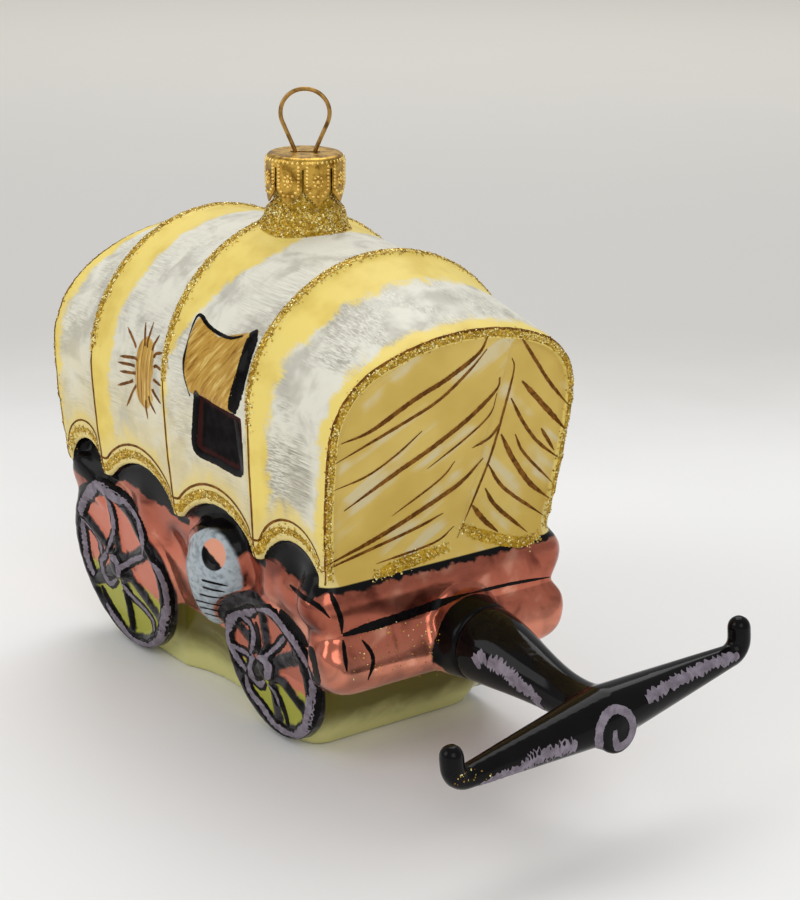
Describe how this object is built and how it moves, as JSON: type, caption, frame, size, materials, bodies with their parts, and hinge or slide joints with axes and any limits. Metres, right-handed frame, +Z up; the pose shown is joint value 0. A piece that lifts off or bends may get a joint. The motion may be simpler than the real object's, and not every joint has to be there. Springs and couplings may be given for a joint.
{
  "type": "covered wagon glass ornament",
  "caption": "Hollow blown-glass ornament shaped as a covered wagon, with a glued glass drawbar, a turning metal cap and a wire hanging loop.",
  "frame": {"origin": "middle of the flat underside of the base", "axes": "+X towards the drawbar, +Z up along the neck, +Y to the wagon's left"},
  "size_m": [0.1269, 0.0616, 0.1068],
  "materials": {
    "painted_glass": "satin",
    "black_glass": "gloss",
    "cap_metal": "satin",
    "wire_metal": "satin"
  },
  "bodies": {
    "ornament": {"glass_body": "painted_glass", "glass_drawbar": "black_glass"},
    "cap": {"hanger_cap": "cap_metal"},
    "hanger": {"hanger_wire": "wire_metal"}
  },
  "joints": [
    {"name": "cap_turn", "type": "hinge", "parent": "ornament", "child": "cap", "pos_m": [0.0038, 0, 0.09], "axis": [0, 0, 1], "continuous": true},
    {"name": "hanger_pull", "type": "slide", "parent": "cap", "child": "hanger", "axis": [0, 0, 1], "range_m": [0, 0.004]}
  ]
}
